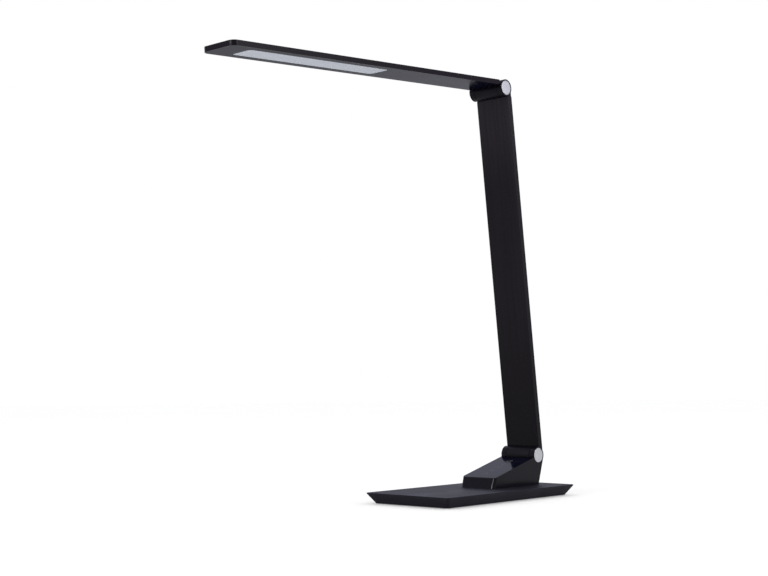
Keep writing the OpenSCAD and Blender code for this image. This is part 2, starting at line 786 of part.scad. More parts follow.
// Upper casting: two ears beside the light bar's knuckle, and the plug inside the tube
module stem_yoke() {
    color([0.08, 0.08, 0.09])
    at_upper_hinge() difference() {
        union() {
            rod_x(-ped_w/2, ped_w/2, knuckle_r);
            translate([0, stem_mid, -stem_end + 0.05]) linear_extrude(stem_end) plate2d(stem_w, stem_t, stem_edge_r);
            translate([0, 0, -stem_end + 0.06]) mirror([0, 0, 1]) stem_plug();
        }
        rod_x(-ear_inner, ear_inner, saddle_r);
        translate([-ear_inner, -knuckle_r - 1, 0]) cube([2*ear_inner, 2*knuckle_r + 2, knuckle_r + 1]);
        ear_cuts();
        ear_bevels();
        passage([[wire_y, -stem_end - 3], [wire_y, 0]], wire_r);
        translate([0, 0, -stem_c]) stem_screw_rooms(stem_c - stem_end - stem_screw_in, pin_fit);
    }
}

module stem_screws() {
    color([0.2, 0.2, 0.21])
    in_stem() for (sx = [-1, 1], s = [stem_end + stem_screw_in, stem_c - stem_end - stem_screw_in])
        translate([sx*stem_screw_x, stem_back, s]) rotate([-90, 0, 0])
            flat_screw(stem_screw_r, stem_screw_head_r, stem_wall, stem_screw_l, 1.1);
}

module stem_cable() {
    color([0.6, 0.1, 0.1])
    in_stem() translate([-cable_w/2, stem_back - stem_wall - cable_t, stem_end + cable_end])
        cube([cable_w, cable_t, stem_c - 2*(stem_end + cable_end)]);
}

// ---------------------------------------------------------------- light bar

// Casting that carries the light bar: knuckle, neck and a tongue inside the shell
module head_knuckle() {
    color([0.08, 0.08, 0.09])
    in_head() difference() {
        union() {
            rod_x(-knuckle_x, knuckle_x, knuckle_r);
            translate([-neck_x, -head_start + 0.1, head_lift]) cube([2*neck_x, head_start - 0.1, head_t]);
            translate([-neck_x, -head_in_start, head_lift]) cube([2*neck_x, head_in_start, head_ceiling - head_lift]);
            translate([-tongue_w/2, -tongue_end, tongue_z])
                cube([tongue_w, tongue_end - head_in_start - seat_fit, head_ceiling - tongue_z]);
            translate([-neck_x, -head_in_start - 1, tongue_z]) cube([2*neck_x, 2, head_ceiling - tongue_z]);
        }
        rod_x(-knuckle_x - 1, knuckle_x + 1, bore_r);
        translate([-slot_w/2, -tongue_end - 1, head_ceiling - head_cable_t])
            cube([slot_w, tongue_end - head_in_start - 1, head_cable_t + 1]);
        passage([[-head_in_start - 4, head_wire_z], [head_wire_y, head_wire_z], [wire_y + 0.3, 1],
                 (knuckle_r + 1)*[cos(head_wire_exit), sin(head_wire_exit)]], head_wire_r);
        for (sx = [-1, 1], y = head_screw_ys) translate([sx*head_screw_x, -y, tongue_z]) rotate([180, 0, 0])
            flat_screw_room(head_screw_r, head_screw_head_r, head_screw_head_h, head_t, pin_fit);
    }
}

module head_shell() {
    color([0.11, 0.11, 0.12])
    in_head() difference() {
        translate([0, 0, head_lift]) linear_extrude(head_t)
            bar2d(head_w, head_start, head_reach, head_end_r, head_tip_r);
        translate([0, 0, head_lift - 1]) linear_extrude(head_ceiling - head_lift + 1)
            bar2d(head_in_w, head_in_start, head_in_end, 0.5, head_tip_r - head_wall);
        translate([-neck_x - seat_fit, -head_in_start - 1, head_lift - 1])
            cube([2*(neck_x + seat_fit), head_wall + 2, head_ceiling - head_lift + 1]);
        for (sx = [-1, 1], y = head_screw_ys) translate([sx*head_screw_x, -y, head_lift])
            cylinder(r = head_screw_r + pin_fit, h = head_screw_tip + 0.1 - head_lift);
    }
}

module head_screws() {
    color([0.72, 0.72, 0.74])
    in_head() for (sx = [-1, 1], y = head_screw_ys) translate([sx*head_screw_x, -y, tongue_z]) rotate([180, 0, 0])
        flat_screw(head_screw_r, head_screw_head_r, head_screw_head_h, head_screw_tip - tongue_z, 0.9);
}

module window2d(grow) {
    translate([0, -(window_start + window_end)/2])
        plate2d(window_w + 2*grow, window_l + 2*grow, window_r + grow);
}

module head_bezel() {
    color([0.16, 0.16, 0.18])
    in_head() translate([0, 0, head_lift]) linear_extrude(bezel_t) difference() {
        bar2d(bezel_w, bezel_start, bezel_end, 0.5, head_tip_r - head_wall - seat_fit);
        window2d(0);
    }
}

// A flange behind the bezel and a step that fills the window
module diffuser() {
    color([0.80, 0.83, 0.88])
    in_head() {
        translate([0, 0, bezel_z1]) linear_extrude(diffuser_t)
            bar2d(optic_w, window_start - optic_edge, window_end + optic_edge, 1, 1);
        translate([0, 0, bezel_z1 - diffuser_step]) linear_extrude(diffuser_step + eps) window2d(-seat_fit);
    }
}

module light_guide() {
    color([0.90, 0.93, 0.95])
    in_head() translate([0, 0, guide_z]) linear_extrude(guide_t)
        bar2d(optic_w, window_start - optic_edge, window_end + optic_edge, 1, 1);
}

module reflector_sheet() {
    color([0.95, 0.95, 0.95])
    in_head() translate([0, 0, guide_z + guide_t]) linear_extrude(reflector_t)
        bar2d(optic_w, window_start - optic_edge, window_end + optic_edge, 1, 1);
}

module led_strips() {
    color([0.92, 0.92, 0.88])
    in_head() for (sx = [-1, 1])
        translate([sx*(head_in_w/2 - strip_t/2) - strip_t/2, -window_end - optic_edge, guide_z])
            cube([strip_t, optic_l, head_ceiling - guide_z]);
}

module leds() {
    color([0.95, 0.88, 0.45])
    in_head() for (sx = [-1, 1], i = [0 : led_count - 1])
        translate([sx*(head_in_w/2 - strip_t - led_depth/2) - led_depth/2,
                   -window_end + (i + 0.5)*led_pitch - led_l/2, guide_z + 0.2])
            cube([led_depth, led_l, guide_t - 0.2]);
}

module head_cable() {
    color([0.6, 0.1, 0.1])
    in_head() translate([-cable_w/2, -window_start + optic_edge + 1, head_ceiling - head_cable_t])
        cube([cable_w, window_start - optic_edge - 1 - head_in_start - cable_end, head_cable_t]);
}

// ---------------------------------------------------------------- nodes

base_shell();
ballast_plate();
bottom_cover();
cover_screws();
non_slip_pad();
pedestal_housing();
pedestal_screws();
touch_panel();
touch_springs();
touch_board();
touch_board_screws();
driver_board();
driver_components();
driver_board_screws();
power_inlet();
color([0.75, 0.75, 0.77]) at_lower_hinge() hinge_pin();  // lower_hinge_pin
color([0.85, 0.85, 0.80]) at_lower_hinge() friction_washers();  // lower_friction_washers
color([0.6, 0.6, 0.62]) at_lower_hinge() disc_springs();  // lower_disc_springs
color([0.7, 0.7, 0.72]) at_lower_hinge() hinge_nut();  // lower_hinge_nut
color([0.78, 0.79, 0.81]) at_lower_hinge() end_cap();  // lower_cap_right
color([0.78, 0.79, 0.81]) at_lower_hinge() mirror([1, 0, 0]) end_cap();  // lower_cap_left
stem_tube();
stem_knuckle();
stem_yoke();
stem_screws();
stem_cable();
color([0.75, 0.75, 0.77]) at_upper_hinge() hinge_pin();  // upper_hinge_pin
color([0.85, 0.85, 0.80]) at_upper_hinge() friction_washers();  // upper_friction_washers
color([0.6, 0.6, 0.62]) at_upper_hinge() disc_springs();  // upper_disc_springs
color([0.7, 0.7, 0.72]) at_upper_hinge() hinge_nut();  // upper_hinge_nut
color([0.78, 0.79, 0.81]) at_upper_hinge() end_cap();  // upper_cap_right
color([0.78, 0.79, 0.81]) at_upper_hinge() mirror([1, 0, 0]) end_cap();  // upper_cap_left
head_knuckle();
head_shell();
head_screws();
head_bezel();
diffuser();
light_guide();
reflector_sheet();
led_strips();
leds();
head_cable();
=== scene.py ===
"""Folding desk lamp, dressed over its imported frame.

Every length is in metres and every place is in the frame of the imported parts. Pieces of the base
are measured as they stand. Pieces of the stem and of the light bar are modelled upright or level
in the frame of their own hinge and then turned into place, so the sizes below stay simple.
"""

import json
import math

import bmesh
import bpy
from bpy.props import FloatProperty, FloatVectorProperty, IntProperty, PointerProperty
from bpy.types import Operator, Panel, PropertyGroup
from mathutils import Matrix, Vector


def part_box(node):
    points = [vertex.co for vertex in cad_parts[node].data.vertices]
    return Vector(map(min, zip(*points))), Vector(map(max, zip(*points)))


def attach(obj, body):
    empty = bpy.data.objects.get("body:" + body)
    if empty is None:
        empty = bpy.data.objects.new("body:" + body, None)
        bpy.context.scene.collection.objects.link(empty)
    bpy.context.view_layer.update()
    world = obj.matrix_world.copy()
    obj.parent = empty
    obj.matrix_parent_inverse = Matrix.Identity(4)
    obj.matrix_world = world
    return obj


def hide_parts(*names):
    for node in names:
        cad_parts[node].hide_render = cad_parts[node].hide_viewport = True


bl_info = {
    "name": "Folding desk lamp",
    "version": (1, 0, 0),
    "blender": (4, 5, 0),
    "location": "3D View > Sidebar > Desk Lamp",
    "description": "Models and finishes a folding desk lamp over its packed parts",
    "category": "Object",
}

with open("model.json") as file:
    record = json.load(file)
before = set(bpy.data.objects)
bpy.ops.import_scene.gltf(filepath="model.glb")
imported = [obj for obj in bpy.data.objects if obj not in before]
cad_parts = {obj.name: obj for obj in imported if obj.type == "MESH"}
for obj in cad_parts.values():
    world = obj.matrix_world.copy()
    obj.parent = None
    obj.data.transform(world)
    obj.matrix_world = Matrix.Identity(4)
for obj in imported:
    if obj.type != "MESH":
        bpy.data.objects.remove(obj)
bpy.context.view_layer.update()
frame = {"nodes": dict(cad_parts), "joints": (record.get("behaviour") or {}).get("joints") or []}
JOINTS = {joint["name"]: joint for joint in frame["joints"]}
LOWER = Vector(JOINTS["base_hinge"]["pos_m"])
UPPER = Vector(JOINTS["head_hinge"]["pos_m"])
LEAN = math.atan2(LOWER.y - UPPER.y, UPPER.z - LOWER.z)


# ---------------------------------------------------------------- sizes and colours


def length(name, description, default):
    return FloatProperty(
        name=name, description=description, default=default, min=0.0, unit="LENGTH", precision=5
    )


def angle(name, description, degrees):
    return FloatProperty(
        name=name, description=description, default=math.radians(degrees), subtype="ANGLE"
    )


def power(name, description, default):
    return FloatProperty(name=name, description=description, default=default, min=0.0, unit="POWER")


def share(name, description, default):
    return FloatProperty(name=name, description=description, default=default, min=0.0, subtype="FACTOR")


def colour(name, description, default):
    return FloatVectorProperty(
        name=name, description=description, default=default, size=3, min=0.0, max=1.0, subtype="COLOR"
    )


class DeskLampSizes(PropertyGroup):
    soft_edge: length("Soft edge", "Radius that every moulded or cast edge is eased to", 0.00025)
    rim_edge: length("Rim edge", "Radius of the base plate's top edge", 0.0004)
    base_corner: length("Base corner", "Corner radius of the base plate", 0.004)
    base_rim: length("Base rim", "Height of the upright rim of the base plate", 0.0008)
    base_inset: length("Base inset", "How far the underside of the base plate is drawn in", 0.006)
    base_wall: length("Base wall", "Width of the base plate's lower edge round the cover", 0.0022)
    base_cavity: length("Base cavity", "Height of the hollow inside the base plate", 0.008)
    pad_rib: length("Pad rib", "Spacing of the ribs under the non-slip pad", 0.0022)
    slope: angle("Slope", "Slope of the pedestal's top", 14.8)
    nose_lean: length("Nose lean", "How far the top of the pedestal's front leans back", 0.0026)
    slope_drop: length("Slope drop", "How far the dressed slope lies under the packed one", 0.00075)
    panel_front_corner: length("Panel front corner", "Front corner radius of the touch panel", 0.0032)
    panel_back_corner: length("Panel back corner", "Back corner radius of the touch panel", 0.0008)
    stem_edge: length("Stem edge", "Radius of the stem tube's long edges", 0.0004)
    stem_wall: length("Stem wall", "Wall thickness of the stem tube", 0.0011)
    stem_foot: length("Stem foot", "Radius of the stem tube's foot about the lower hinge", 0.009)
    screw_head: length("Screw head", "Radius of a stem screw's head", 0.0028)
    droop: angle("Droop", "Droop of the light bar at rest", 3.8)
    bar_tip_corner: length("Bar tip corner", "Corner radius at the light bar's tip", 0.0058)
    bar_end_corner: length("Bar end corner", "Corner radius at the light bar's hinge end", 0.001)
    bar_wall: length("Bar wall", "Wall thickness of the light bar", 0.0013)
    window_width: length("Window width", "Width of the light window", 0.0238)
    window_length: length("Window length", "Length of the light window", 0.170)
    window_tip: length("Window to tip", "Distance from the light bar's tip to the light window", 0.0252)
    window_corner: length("Window corner", "Corner radius of the light window", 0.004)
    cap_rim: length("Cap rim", "Width of the rim round a silver cap's face", 0.0006)
    arc_steps: IntProperty(
        name="Arc steps", description="Faces on a quarter of a corner", default=8, min=3, max=24
    )


class DeskLampColours(PropertyGroup):
    plate: colour("Plate", "Satin black of the base plate", (0.0032, 0.0026, 0.0066))
    moulding: colour("Moulding", "Black of the pedestal housing", (0.0040, 0.0030, 0.0060))
    casting: colour("Casting", "Black of the hinge castings", (0.0035, 0.0025, 0.0050))
    anodised: colour("Anodised", "Black of the stem and the light bar", (0.0055, 0.0030, 0.0066))
    gloss: colour("Gloss", "Black of the touch panel and the light bar's underside", (0.0030, 0.0035, 0.0115))
    # Painted light: a paler tone painted onto the stem's upper part, standing in for the brighter light that
    # falls there.
    worn: colour("Painted lit top", "Paler tone that the stem is worn to near its top", (0.0200, 0.0165, 0.0225))
    silver: colour("Silver", "Turned metal of the hinge caps", (0.495, 0.500, 0.502))
    milk: colour("Milk", "Frosted light panel", (0.51, 0.54, 0.605))
    mark: colour("Mark", "Printed marks on the touch panel", (0.105, 0.107, 0.115))
    steel: colour("Steel", "Screws, pins and the ballast plate", (0.55, 0.55, 0.57))
    rubber: colour("Rubber", "Non-slip pad", (0.020, 0.020, 0.020))
    floor: colour("Floor", "Pale floor", (0.90, 0.90, 0.90))
    daylight: colour("Daylight", "Tint of the surroundings in reflections", (0.82, 0.825, 1.0))


class DeskLampStage(PropertyGroup):
    surroundings: share("Surroundings", "Strength of the light from all round", 0.8)
    lift: share("Lift", "Light that the floor adds of its own", 0.27)
    front_light: power("Front light", "Power of the lamp in front", 6.0)
    side_light: power("Side light", "Power of the lamp at the side", 6.0)
    front_strip: power("Front strip", "Power of the strip in front that only corners mirror", 75.0)
    side_strip: power("Side strip", "Power of the strip at the side that only corners mirror", 15.0)
    lens: FloatProperty(name="Lens", description="Focal length in millimetres", default=62.870, min=1.0)
    azimuth: angle("Azimuth", "How far the camera stands round to the right", 42.545)
    pitch: angle("Pitch", "How far the camera looks up", 3.983)
    roll: angle("Roll", "Roll of the camera", -0.544)
    distance: length("Distance", "How far the camera stands from a point over the lower hinge", 1.37345)
    point_height: length("Point height", "Height of that point over the desk", 0.20043)
    shift_left: length("Shift left", "How far the camera is then moved to its own left", 0.13896)
    shift_up: length("Shift up", "How far the camera is then moved upwards", 0.00854)


# ---------------------------------------------------------------- places on the frame


def turned(origin, tilt):
    """Frame at a hinge, turned about X."""
    return Matrix.Translation(origin) @ Matrix.Rotation(tilt, 4, "X")


def box_in(node, place):
    """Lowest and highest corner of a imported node, measured in a turned frame."""
    back = place.inverted()
    points = [back @ vertex.co for vertex in frame["nodes"][node].data.vertices]
    return (
        Vector([min(p[i] for p in points) for i in range(3)]),
        Vector([max(p[i] for p in points) for i in range(3)]),
    )


STEM = turned(LOWER, LEAN)


def bar_place(sizes):
    return turned(UPPER, sizes.droop)


def slope_place(sizes):
    return turned(LOWER, sizes.slope)


# ---------------------------------------------------------------- modelling by hand


SAME_PLACE = 2e-5
FACING = 0.9  # part of a normal past which a face looks that way
CUT_PAST = 0.001  # how far a cutting tool reaches past the piece that it cuts


def near(a, b):
    return abs(a - b) < SAME_PLACE


def only(piece):
    bpy.ops.object.select_all(action="DESELECT")
    piece.select_set(True)
    bpy.context.view_layer.objects.active = piece


def block(name, low, high):
    """A cube primitive between two corners, its place kept in its mesh."""
    low, high = Vector(low), Vector(high)
    bpy.ops.object.select_all(action="DESELECT")
    bpy.ops.mesh.primitive_cube_add(size=1, location=(low + high)/2, scale=high - low)
    return settled(name)


def disc(name, radius, low, high, centre=(0.0, 0.0), sides=64, top_radius=None):
    """An upright cylinder or cone primitive from one height to another."""
    bpy.ops.object.select_all(action="DESELECT")
    bpy.ops.mesh.primitive_cone_add(
        vertices=sides,
        radius1=radius,
        radius2=radius if top_radius is None else top_radius,
        depth=high - low,
        location=(centre[0], centre[1], (low + high)/2),
    )
    return settled(name)


def settled(name):
    piece = bpy.context.object
    piece.name = piece.data.name = name
    bpy.ops.object.transform_apply(location=True, rotation=True, scale=True)
    return piece


class Shaping:
    """Edit mode on one piece. Picks are made by place or normal, and replace the last pick."""

    def __init__(self, piece):
        self.piece = piece

    def __enter__(self):
        only(self.piece)
        bpy.ops.object.mode_set(mode="EDIT")
        bpy.ops.mesh.select_all(action="DESELECT")
        return self

    def __exit__(self, *_):
        bpy.ops.object.mode_set(mode="OBJECT")

    def _pick(self, kind, elements, test):
        bpy.ops.mesh.select_mode(type=kind)
        bpy.ops.mesh.select_all(action="DESELECT")
        mesh = bmesh.from_edit_mesh(self.piece.data)
        mesh.normal_update()
        chosen = [element for element in getattr(mesh, elements) if test(element)]
        if not chosen:
            raise RuntimeError(f"nothing to pick on {self.piece.name}")
        for element in chosen:
            element.select_set(True)
        mesh.select_flush_mode()
        bmesh.update_edit_mesh(self.piece.data)
        return self

    def faces(self, test):
        return self._pick("FACE", "faces", lambda f: test(f.calc_center_median(), f.normal))

    def edges(self, test):
        return self._pick("EDGE", "edges", lambda e: test(e.verts[0].co, e.verts[1].co))

    def points(self, test):
        return self._pick("VERT", "verts", lambda v: test(v.co))

    def bevel(self, width, steps):
        bpy.ops.mesh.bevel(offset=width, segments=steps, affect="EDGES")
        return self

    def inset(self, width):
        bpy.ops.mesh.inset(thickness=width, depth=0.0)
        return self

    def extrude(self, *by):
        bpy.ops.mesh.extrude_region_move(TRANSFORM_OT_translate={"value": by})
        return self

    def move(self, *by):
        bpy.ops.transform.translate(value=by)
        return self


def upright(a, b):
    return near(a.x, b.x) and near(a.y, b.y) and not near(a.z, b.z)


def looks_up(_, normal):
    return normal.z > FACING


def looks_down(_, normal):
    return normal.z < -FACING


def modified(piece, kind, **settings):
    """Adds a modifier and applies it."""
    only(piece)
    modifier = piece.modifiers.new(kind.title(), kind)
    for name, value in settings.items():
        setattr(modifier, name, value)
    bpy.ops.object.modifier_apply(modifier=modifier.name)
    return piece


def cut(piece, *tools):
    """Takes the tools out of a piece."""
    for tool in tools:
        modified(piece, "BOOLEAN", operation="DIFFERENCE", solver="EXACT", object=tool)
        bpy.data.objects.remove(tool)


def join(piece, *others):
    only(piece)
    for other in others:
        other.select_set(True)
    bpy.ops.object.join()


def smooth(piece, facet=35.0):
    """Shades a piece as one surface up to a facet, in degrees, with its flat faces kept flat."""
    only(piece)
    bpy.ops.object.shade_smooth_by_angle(angle=math.radians(facet))
    return modified(piece, "WEIGHTED_NORMAL", keep_sharp=True, weight=80)


def eased(piece, width, corner=50.0, facet=35.0):
    """Rounds the edges that turn by more than a corner, in degrees, and shades the piece."""
    modified(
        piece,
        "BEVEL",
        width=width,
        segments=2,
        limit_method="ANGLE",
        angle_limit=math.radians(corner),
        use_clamp_overlap=True,
    )
    return smooth(piece, facet)


def put(piece, place):
    """Turns a piece from its own frame into place, and keeps the place in its mesh."""
    only(piece)
    piece.matrix_world = place
    bpy.ops.object.transform_apply(location=True, rotation=True, scale=True)
    return piece


def dressed(node, width, shape=None):
    """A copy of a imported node: its loose triangles merged, shaped further and its edges eased."""
    source = frame["nodes"][node]
    copy = bpy.data.objects.new(f"{node}_eased", source.data.copy())
    bpy.context.scene.collection.objects.link(copy)
    with Shaping(copy) as edit:
        bpy.ops.mesh.select_all(action="SELECT")
        bpy.ops.mesh.remove_doubles(threshold=1e-6)
        bpy.ops.mesh.dissolve_limited(angle_limit=math.radians(0.5))
        if shape:
            shape(edit)
    return eased(copy, width, corner=30.0, facet=40.0)


def finished(piece, material, body, node):
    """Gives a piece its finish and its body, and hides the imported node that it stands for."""
    piece.data.materials.clear()
    piece.data.materials.append(material)
    for face in piece.data.polygons:
        face.material_index = 0
    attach(piece, body)
    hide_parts(node)
    slot_name(frame["nodes"][node].material_slots[0])


def slot_name(slot):
    return slot.material.name.split(".")[0]


# ---------------------------------------------------------------- finishes


class Value:
    """A socket in a node tree, so that shader maths reads as Python."""

    def __init__(self, nodes, socket):
        self.nodes = nodes
        self.socket = socket

    def math(self, operation, *values):
        return self.nodes.node("ShaderNodeMath", {"operation": operation}, values)

    def __add__(self, other):
        return self.math("ADD", self, other)

    def __sub__(self, other):
        return self.math("SUBTRACT", self, other)

    def __rsub__(self, other):
        return self.math("SUBTRACT", other, self)

    def __mul__(self, other):
        return self.math("MULTIPLY", self, other)

    def __truediv__(self, other):
        return self.math("DIVIDE", self, other)

    def __rtruediv__(self, other):
        return self.math("DIVIDE", other, self)

    def __pow__(self, other):
        return self.math("POWER", self, other)

    def __rpow__(self, other):
        return self.math("POWER", other, self)

    def __lt__(self, other):
        return self.math("LESS_THAN", self, other)

    def __gt__(self, other):
        return self.math("GREATER_THAN", self, other)

    def __abs__(self):
        return self.math("ABSOLUTE", self)

    __radd__ = __add__
    __rmul__ = __mul__

    def most(self, other):
        """The larger of the two."""
        return self.math("MAXIMUM", self, other)

    def sine(self):
        return self.math("SINE", self)

    def ease(self, low, high):
        """0 below low, 1 over high, and smooth between them."""
        return self.nodes.node(
            "ShaderNodeMapRange",
            {"interpolation_type": "SMOOTHSTEP"},
            {"Value": self, "From Min": low, "From Max": high, "To Min": 0.0, "To Max": 1.0},
        )


class Nodes:
    """The node tree of a material or of the world."""

    def __init__(self, tree):
        self.tree = tree

    def feed(self, socket, value):
        if isinstance(value, Value):
            self.tree.links.new(value.socket, socket)
        elif socket.type == "RGBA" and len(value) == 3:
            socket.default_value = (*value, 1.0)
        else:
            socket.default_value = value

    def node(self, kind, settings=None, inputs=(), output=0):
        """Adds a node: its settings first, then the values or links of its sockets."""
        node = self.tree.nodes.new(kind)
        for name, value in (settings or {}).items():
            setattr(node, name, value)
        pairs = inputs.items() if isinstance(inputs, dict) else enumerate(inputs)
        for key, value in pairs:
            self.feed(node.inputs[key], value)
        return Value(self, node.outputs[output])

    def place(self, origin=(0.0, 0.0, 0.0), tilt=0.0, scale=(1.0, 1.0, 1.0)):
        """Object coordinates, measured from an origin in a frame turned about X. A pattern is drawn
        out along each axis by the scale."""
        coords = self.node("ShaderNodeTexCoord", output="Object")
        return self.node(
            "ShaderNodeMapping",
            {"vector_type": "TEXTURE"},
            {"Vector": coords, "Location": tuple(origin), "Rotation": (tilt, 0.0, 0.0), "Scale": scale},
        )

    def split(self, vector):
        node = self.node("ShaderNodeSeparateXYZ", inputs=[vector]).socket.node
        return [Value(self, socket) for socket in node.outputs]

    def noise(self, vector, scale, detail=2.0, roughness=0.5):
        return self.node(
            "ShaderNodeTexNoise",
            inputs={"Vector": vector, "Scale": scale, "Detail": detail, "Roughness": roughness},
        )

    def blend(self, factor, one, two):
        return self.node("ShaderNodeMix", {"data_type": "RGBA"}, {0: factor, 6: one, 7: two}, output=2)

    def seen(self):
        """Two masks: what the camera, a reflection or clear plastic looks at, and what a reflection
        alone looks at. Both are 0 for the light that falls on the lamp."""
        camera = self.node("ShaderNodeLightPath", output="Is Camera Ray")
        rays = camera.socket.node.outputs
        mirrored = Value(self, rays["Is Glossy Ray"])
        return camera.most(mirrored).most(Value(self, rays["Is Transmission Ray"])), mirrored


class Finish(Nodes):
    """A material of one finish, built on the Principled shader."""

    def __init__(self, name, **constants):
        self.material = bpy.data.materials.new(name)
        self.material.use_nodes = True
        super().__init__(self.material.node_tree)
        self.shader = self.tree.nodes["Principled BSDF"]
        self.set(**constants)

    def set(self, **values):
        """Sets or links sockets of the shader by name."""
        for name, value in values.items():
            self.feed(self.shader.inputs[name.replace("_", " ")], value)
        return self

    def bump(self, height, distance):
        return self.set(Normal=self.node("ShaderNodeBump", inputs={"Height": height, "Distance": distance}))


WHITE = (1.0, 1.0, 1.0)
TINNED = (0.72, 0.70, 0.62)  # solder on the boards' pads


def shade(value, factor):
    return tuple(min(1.0, part*factor) for part in value)


def satin_black(name, tone, rough=0.52, sheen=0.12):
    """Fine spark-eroded grain of painted metal or moulded plastic, with a few handled patches."""
    finish = Finish(name, Specular_IOR_Level=sheen)
    place = finish.place()
    fine = finish.noise(place, scale=1800.0, detail=3.0)
    handled = finish.noise(place, scale=22.0).ease(0.45, 0.7)
    finish.set(
        Base_Color=finish.blend(handled*0.5 + fine*0.5, shade(tone, 0.8), shade(tone, 1.35)),
        Roughness=rough + fine*0.08 - handled*0.05,
    )
    return finish.bump(fine, distance=0.00002)


def rim_highlight_black(name, tone, low, high):
    """The base plate's finish, with a painted highlight along its top edge: the rim is coloured a little
    lighter.
    """
    finish = satin_black(name, tone)
    half = (high - low)/2
    wide, rounded = 0.0012, 0.0002
    x, y, z = finish.split(finish.place((low + high)/2))
    reach = (abs(x) - half.x).most(abs(y) - half.y)
    # Painted highlight: a band along the top edge, broken up by fine grain, is coloured lighter than the
    # plate.
    edge = reach.ease(-wide, -rounded)*z.ease(half.z - wide, half.z)
    fine = finish.noise(finish.place(), scale=260.0, detail=3.0).ease(0.3, 0.7)
    finish.set(Base_Color=finish.blend(edge*(0.5 + fine*0.5), tone, shade(tone, 3.0)))
    return finish


def brushed_black(name, tone, origin, tilt, along, worn=None):
    """Anodised metal with fine lines drawn along one axis of its own frame. Where a paler tone is given, the
    metal turns to it in streaks on the way up: painted light that makes the upper stem lighter."""
    finish = Finish(name, Specular_IOR_Level=0.085)
    stretch = tuple(1.0 if i != along else 60.0 for i in range(3))
    lines = finish.noise(finish.place(origin, tilt, stretch), scale=2600.0, detail=4.0, roughness=0.7)
    broad = finish.noise(finish.place(origin, tilt, stretch), scale=420.0)
    cloud = finish.noise(finish.place(origin, tilt), scale=14.0)
    base = finish.blend(lines*0.55 + broad*0.45, shade(tone, 0.45), shade(tone, 1.2))
    if worn is not None:
        # Painted light: the base colour turns paler up the stem, in streaks, to paint the brighter light on
        # its upper part.
        up = finish.split(finish.place(origin, tilt))[2]
        streaks = finish.noise(finish.place(origin, tilt, (1.0, 1.0, 40.0)), scale=260.0, detail=3.0)
        pale = (up.ease(0.0, 0.2)*0.27 + up.ease(0.26, 0.35)*0.55)*(0.2 + streaks*1.6)
        base = finish.blend(pale, shade(tone, 0.4), worn)
    finish.set(Base_Color=base, Roughness=0.27 + (lines - 0.5)*0.16 + (cloud - 0.5)*0.10)
    return finish.bump(lines*0.7 + broad*0.3, distance=0.000012)


def cast_black(name, tone, origin, tilt):
    """Turned and painted casting with faint rings across its axle."""
    finish = Finish(name, Specular_IOR_Level=0.085)
    place = finish.place(origin, tilt, (14.0, 1.0, 1.0))
    streaks = finish.noise(place, scale=700.0, detail=3.0, roughness=0.6)
    fine = finish.noise(finish.place(origin, tilt), scale=2400.0)
    finish.set(
        Base_Color=finish.blend(streaks, shade(tone, 0.6), shade(tone, 1.5)),
        Roughness=0.30 + streaks*0.18 + fine*0.05,
    )
    return finish.bump(streaks*0.6 + fine*0.4, distance=0.00002)


def gloss_black(name, tone, sheen=0.0078):
    """Polished plastic with faint wipe marks."""
    finish = Finish(name, Specular_IOR_Level=sheen)
    wiped = finish.noise(finish.place(scale=(1.0, 3.0, 1.0)), scale=45.0, detail=3.0)
    dust = finish.noise(finish.place(), scale=900.0).ease(0.68, 0.78)
    finish.set(
        Base_Color=finish.blend(dust*0.5, tone, shade(tone, 3.0)),
        Roughness=0.16 + wiped*0.08 + dust*0.1,
    )
    return finish


def touch_black(name, tone, mark, origin, tilt, centres, size):
    """The touch panel: gloss black with a row of plain printed marks. The first is an on and off ring.
    The lines of a mark are given as parts of its size."""
    finish = gloss_black(name, tone, sheen=0.036)
    x, y, _ = finish.split(finish.place(origin, tilt))
    printed = None
    for number, centre in enumerate(centres):
        down = y - centre
        away = (x*x + down*down)**0.5
        if number == 0:
            ring = (abs(away - size) < size*0.16)*(1.0 - (abs(x) < size*0.38)*(down > 0.0))
            bar = (abs(x) < size*0.15)*(down > size*0.25)*(down < size*1.2)
            form = ring.most(bar)
        elif number % 2:
            form = abs(away - size*0.7) < size*0.13
        else:
            form = (away < size*0.24).most((abs(away - size*0.8) < size*0.12)*(abs(x) > size*0.3))
        printed = form if printed is None else printed.most(form)
    wear = finish.noise(finish.place(), scale=1500.0).ease(0.35, 0.6)
    finish.set(
        Base_Color=finish.blend(printed*(0.75 + wear*0.25), tone, mark),
        Roughness=0.10 + printed*0.25 + wear*0.04,
    )
    return finish


def turned_silver(name, tone, origin):
    """Bright metal faced on a lathe: fine rings round the hinge axis."""
    finish = Finish(name, Metallic=0.85)
    _, y, z = finish.split(finish.place(origin))
    away = (y*y + z*z)**0.5
    cut_apart = 0.00022
    waver = finish.noise(finish.place(origin), scale=120.0)*2.0
    rings = (away*math.tau/cut_apart + waver).sine()*0.5 + 0.5
    soft = finish.noise(finish.place(origin), scale=300.0, detail=3.0)
    rim = away.ease(0.0060, 0.0066)
    finish.set(
        Base_Color=finish.blend(rings*0.35 + soft*0.4, shade(tone, 0.86), shade(tone, 1.1)),
        Roughness=0.34 + rings*0.06 - rim*0.14,
    )
    return finish.bump(rings, distance=0.000004)


def milk_panel(name, tone, origin, tilt):
    """Frosted light panel, unlit, with the faint dots of the light guide behind it."""
    finish = Finish(name, Specular_IOR_Level=0.35)
    x, y, _ = finish.split(finish.place(origin, tilt))
    apart = 0.0017
    dots = ((x*math.tau/apart).sine()*(y*math.tau/apart).sine()).ease(0.55, 0.9)
    frost = finish.noise(finish.place(), scale=2200.0)
    finish.set(
        Base_Color=finish.blend(dots*0.35 + frost*0.2, tone, shade(tone, 1.12)),
        Roughness=0.42 + frost*0.12,
    )
    return finish.bump(frost, distance=0.00001)


